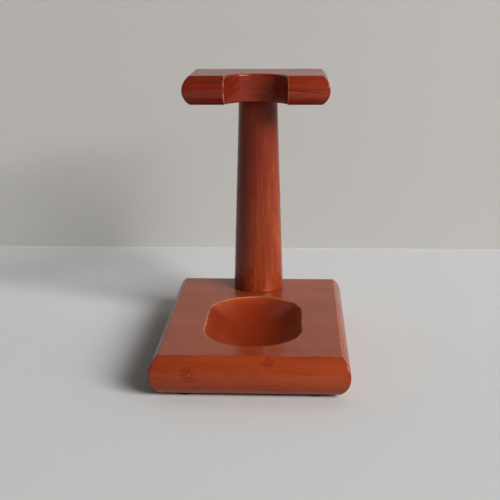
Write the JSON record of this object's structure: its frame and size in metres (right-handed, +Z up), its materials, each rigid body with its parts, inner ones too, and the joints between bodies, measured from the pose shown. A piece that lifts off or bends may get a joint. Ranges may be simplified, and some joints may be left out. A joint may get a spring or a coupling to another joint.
{
  "type": "notched single-post stand",
  "caption": "Small varnished wooden stand: a tapered round post carries a notched T-shaped head plate over a base board with a dished oval recess.",
  "frame": {"origin": "on the surface that the stand rests on, under the middle of the base board", "axes": "+Z up along the post, +X to the right across the head plate, -Y towards the front, where the notch opens"},
  "size_m": [0.08, 0.115, 0.1202],
  "materials": {
    "base_wood": "red-brown stain under satin varnish",
    "post_wood": "red-brown stain under satin varnish",
    "head_wood": "red-brown stain under satin varnish",
    "dowel_beech": "bare beech",
    "zinc_steel": "zinc plated",
    "foot_rubber": "matte black"
  },
  "bodies": {
    "root": {"base_board": "base_wood", "post": "post_wood", "head_plate": "head_wood", "head_dowel": "dowel_beech", "base_screw": "zinc_steel", "base_screw_washer": "zinc_steel", "foot_front_left": "foot_rubber", "foot_front_right": "foot_rubber", "foot_rear_left": "foot_rubber", "foot_rear_right": "foot_rubber"}
  },
  "joints": []
}
